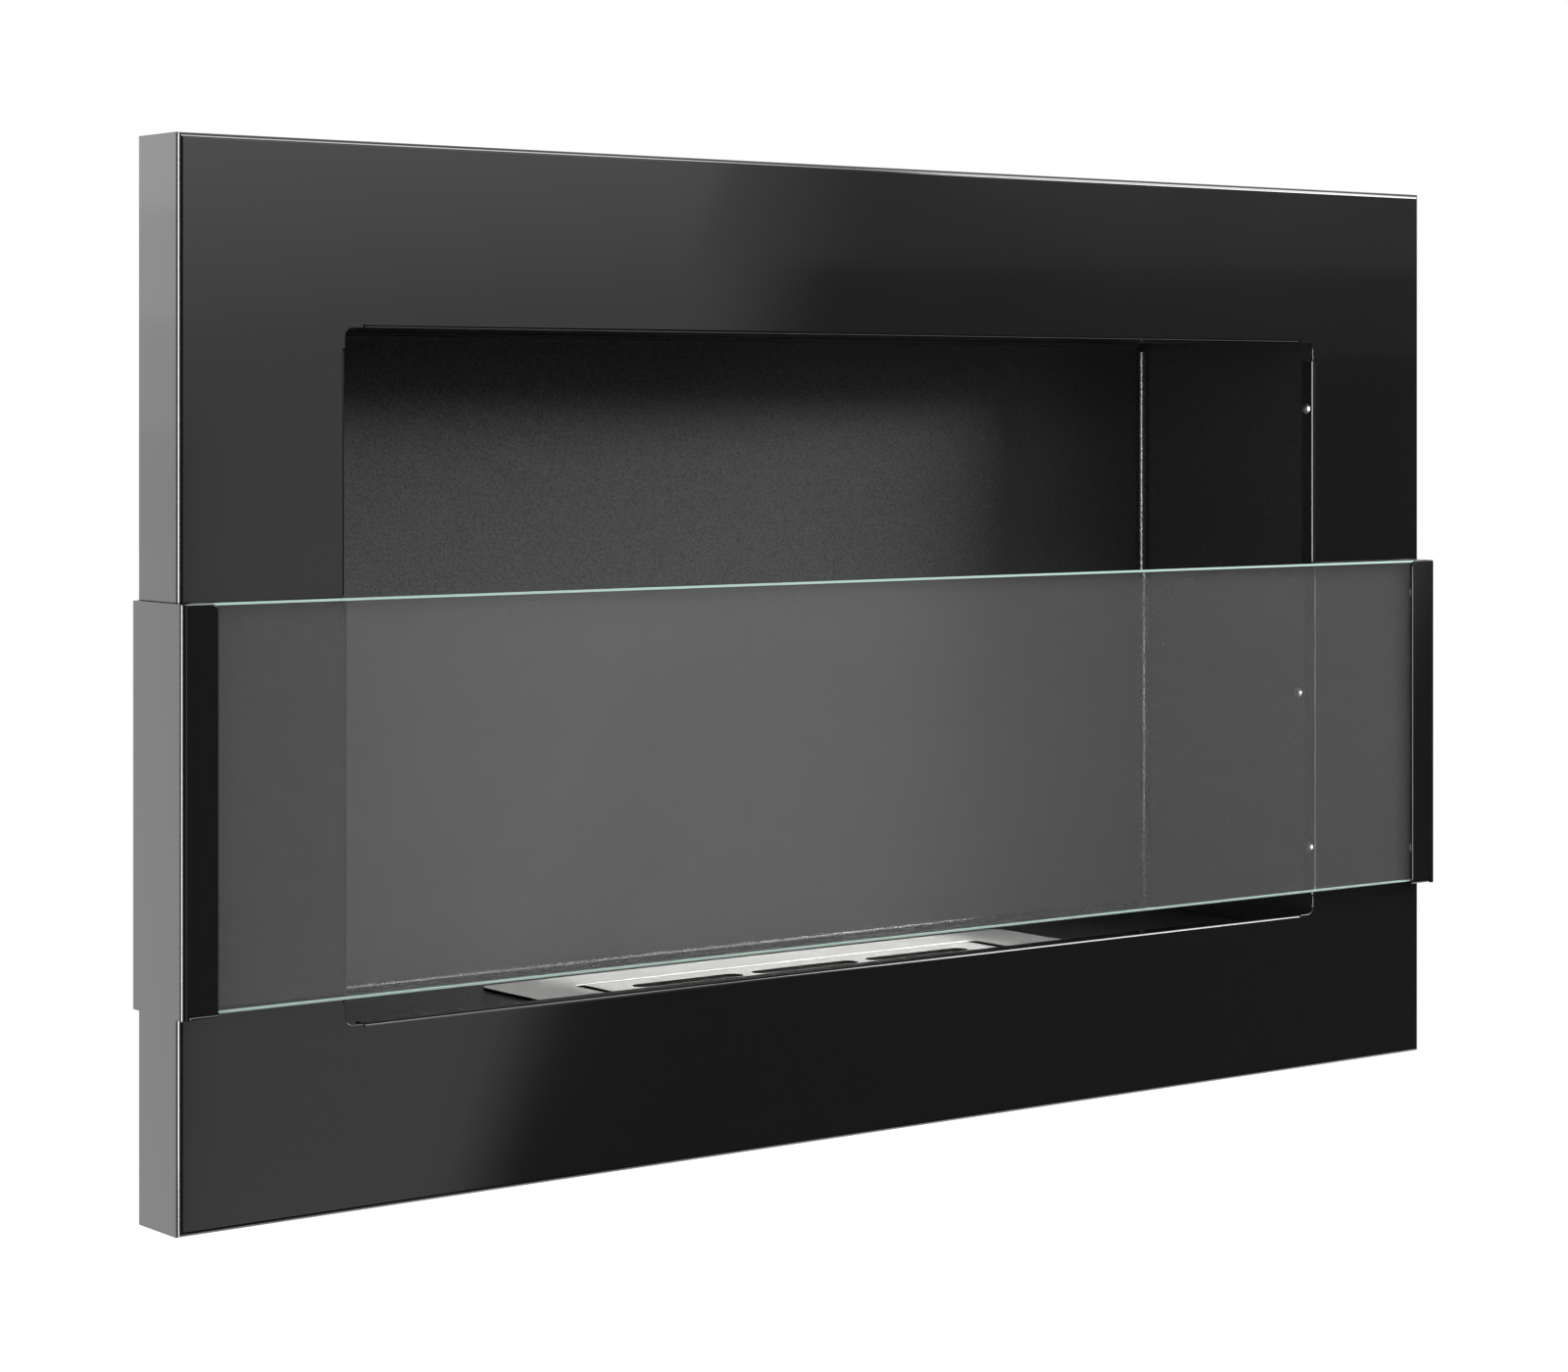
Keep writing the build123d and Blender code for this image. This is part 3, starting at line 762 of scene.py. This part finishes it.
def card(name, corners, level):
    """A flat card with these corners, which only mirrors see."""
    mesh = bpy.data.meshes.new(name)
    mesh.from_pydata(corners, [], [range(len(corners))])
    mesh.materials.append(card_cloth(name, level))
    made = bpy.data.objects.new(name, mesh)
    made.visible_camera = False
    made.visible_diffuse = False
    made.visible_shadow = False
    bpy.context.scene.collection.objects.link(made)


def upright_card(name, level, left, right, low, high, depth):
    """A card that stands parallel to the wall, this far in front of it."""
    card(name, [
        (left, -depth, low), (right, -depth, low), (right, -depth, high), (left, -depth, high),
    ], level)


def right_cards():
    """Dark cards on the right, one above the other, whose left edges slant and fade into the white room."""
    depth = 2.6
    room_edge = 1.79
    slant = 0.4
    far_right = 6.0
    far_depth = 1.2
    fades = 5
    # Each card's name, its lower and upper edge, its level and the width of its fade
    for name, low, high, level, soft in (
        ("right_card_low", -1.1, 0.02, 0.1, 0.1),
        ("right_card_middle", 0.02, 0.13, 0.2, 0.18),
        ("right_card_top", 0.13, 0.62, 0.38, 0.24),
    ):
        edge_low = room_edge + slant * low
        edge_high = room_edge + slant * high
        for fade in range(fades):
            near = soft * (fade / fades - 0.5)
            far = near + soft / fades
            card(f"{name}_{fade}", [
                (edge_low + near, -depth, low), (edge_low + far, -depth, low),
                (edge_high + far, -depth, high), (edge_high + near, -depth, high),
            ], 1 + (level - 1) * (fade + 0.5) / fades)
        card(name, [
            (edge_low + soft / 2, -depth, low), (edge_high + soft / 2, -depth, high),
            (far_right, -far_depth, high), (far_right, -far_depth, low),
        ], level)


def glow_cards():
    """Bright bands between the dark cards, which rise to the right and grow brighter towards the top."""
    depth = 2.617
    left = 0.5
    right = 1.95
    bottom = -0.04
    top = 0.4
    step = 0.03
    rise = 0.17
    bands = 8
    dimmest = 1.05
    gain = 0.85
    for band in range(bands):
        low = bottom + step * band
        high = low + step if band < bands - 1 else top
        card(f"glow_card_{band}", [
            (left, -depth, low), (right, -depth, min(low + rise, top)),
            (right, -depth, min(high + rise, top)), (left, -depth, high),
        ], dimmest + gain * (band + 0.5) / bands)


def edge_card():
    """A narrow bright card far to the left, which draws thin lines on the bends of the frame."""
    level = 55
    distance = 2.5
    left = -73
    right = -66
    bottom = -17
    top = 12
    corners = ((left, bottom), (right, bottom), (right, top), (left, top))
    card("edge_card", [bearing(azimuth, elevation, distance) for azimuth, elevation in corners], level)


def dark_cards():
    """Dark cards in front of the fireplace, and one that hides the white floor from the gloss coats."""
    dark = 0.1
    darkest = 0.05
    front = 2.6
    behind_glow = 2.7
    middle = -0.05
    upright_card("front_card_top", dark, left=-2.2, right=0.85, low=middle, high=0.6, depth=behind_glow)
    upright_card("glow_top_card", dark, left=0.85, right=2.0, low=0.4, high=0.6, depth=behind_glow)
    upright_card("front_card", dark, left=-2.2, right=1.0, low=-1.3, high=middle, depth=front)
    left = -1.2
    right = 2.4
    far_depth = 2.4
    far_height = -1.02
    near_depth = 0.5
    near_height = -1.3
    card("low_card", [
        (left, -far_depth, far_height), (right, -far_depth, far_height),
        (right, -near_depth, near_height), (left, -near_depth, near_height),
    ], darkest)


def floor(studio):
    """A wide white floor far below the fireplace, which hangs on a wall."""
    reach = 30.0
    mesh = bpy.data.meshes.new("floor")
    corners = [(-reach, -reach, 0), (reach, -reach, 0), (reach, reach, 0), (-reach, reach, 0)]
    mesh.from_pydata(corners, [], [(0, 1, 2, 3)])
    mesh.materials.append(white_floor_paper())
    made = bpy.data.objects.new("floor", mesh)
    made.location.z = -studio.floor_drop
    bpy.context.scene.collection.objects.link(made)


def camera(studio):
    """A level camera to the left, whose lens is shifted down to take in the whole fireplace."""
    lens = bpy.data.cameras.new("camera")
    lens.lens = studio.lens
    lens.sensor_width = 36
    lens.shift_y = studio.camera_shift
    made = bpy.data.objects.new("camera", lens)
    made.location = (-studio.camera_x, -studio.camera_y, -studio.camera_z)
    made.rotation_euler = (math.radians(90), 0, -studio.camera_turn)
    bpy.context.scene.collection.objects.link(made)
    bpy.context.scene.camera = made


class FIREPLACE_OT_studio(bpy.types.Operator):
    """Sets up the camera, the white room and floor, the softboxes and the cards"""

    bl_idname = "fireplace.studio"
    bl_label = "Set up studio"

    def execute(self, context):
        studio = context.scene.fireplace_studio
        context.scene.view_settings.view_transform = "Standard"
        context.scene.world = white_room(studio)
        camera(studio)
        floor(studio)
        for lamp in softboxes:
            softbox(lamp)
        right_cards()
        glow_cards()
        edge_card()
        dark_cards()
        return {"FINISHED"}


class FIREPLACE_PT_sidebar(bpy.types.Panel):
    """Lists the steps and the settings of the fireplace"""

    bl_idname = "FIREPLACE_PT_sidebar"
    bl_label = "Fireplace"
    bl_space_type = "VIEW_3D"
    bl_region_type = "UI"
    bl_category = "Fireplace"

    def draw(self, context):
        for step in steps:
            self.layout.operator(step.bl_idname)
        for settings in (context.scene.fireplace_finishes, context.scene.fireplace_studio):
            for name in settings.__annotations__:
                self.layout.prop(settings, name)


steps = (
    FIREPLACE_OT_studio,
    FIREPLACE_OT_front_frame,
    FIREPLACE_OT_firebox,
    FIREPLACE_OT_rivets,
    FIREPLACE_OT_burner,
    FIREPLACE_OT_fibre_block,
    FIREPLACE_OT_glass,
    FIREPLACE_OT_wall_buffers,
)
classes = (FireplaceFinishes, FireplaceStudio, *steps, FIREPLACE_PT_sidebar)


def register():
    for kind in classes:
        bpy.utils.register_class(kind)
    bpy.types.Scene.fireplace_finishes = PointerProperty(type=FireplaceFinishes)
    bpy.types.Scene.fireplace_studio = PointerProperty(type=FireplaceStudio)


def unregister():
    del bpy.types.Scene.fireplace_studio
    del bpy.types.Scene.fireplace_finishes
    for kind in reversed(classes):
        bpy.utils.unregister_class(kind)


def main():
    register()
    bpy.ops.fireplace.studio()
    bpy.ops.fireplace.front_frame()
    bpy.ops.fireplace.firebox()
    bpy.ops.fireplace.rivets()
    bpy.ops.fireplace.burner()
    bpy.ops.fireplace.fibre_block()
    bpy.ops.fireplace.glass()
    bpy.ops.fireplace.wall_buffers()


if __name__ == "__main__":
    main()
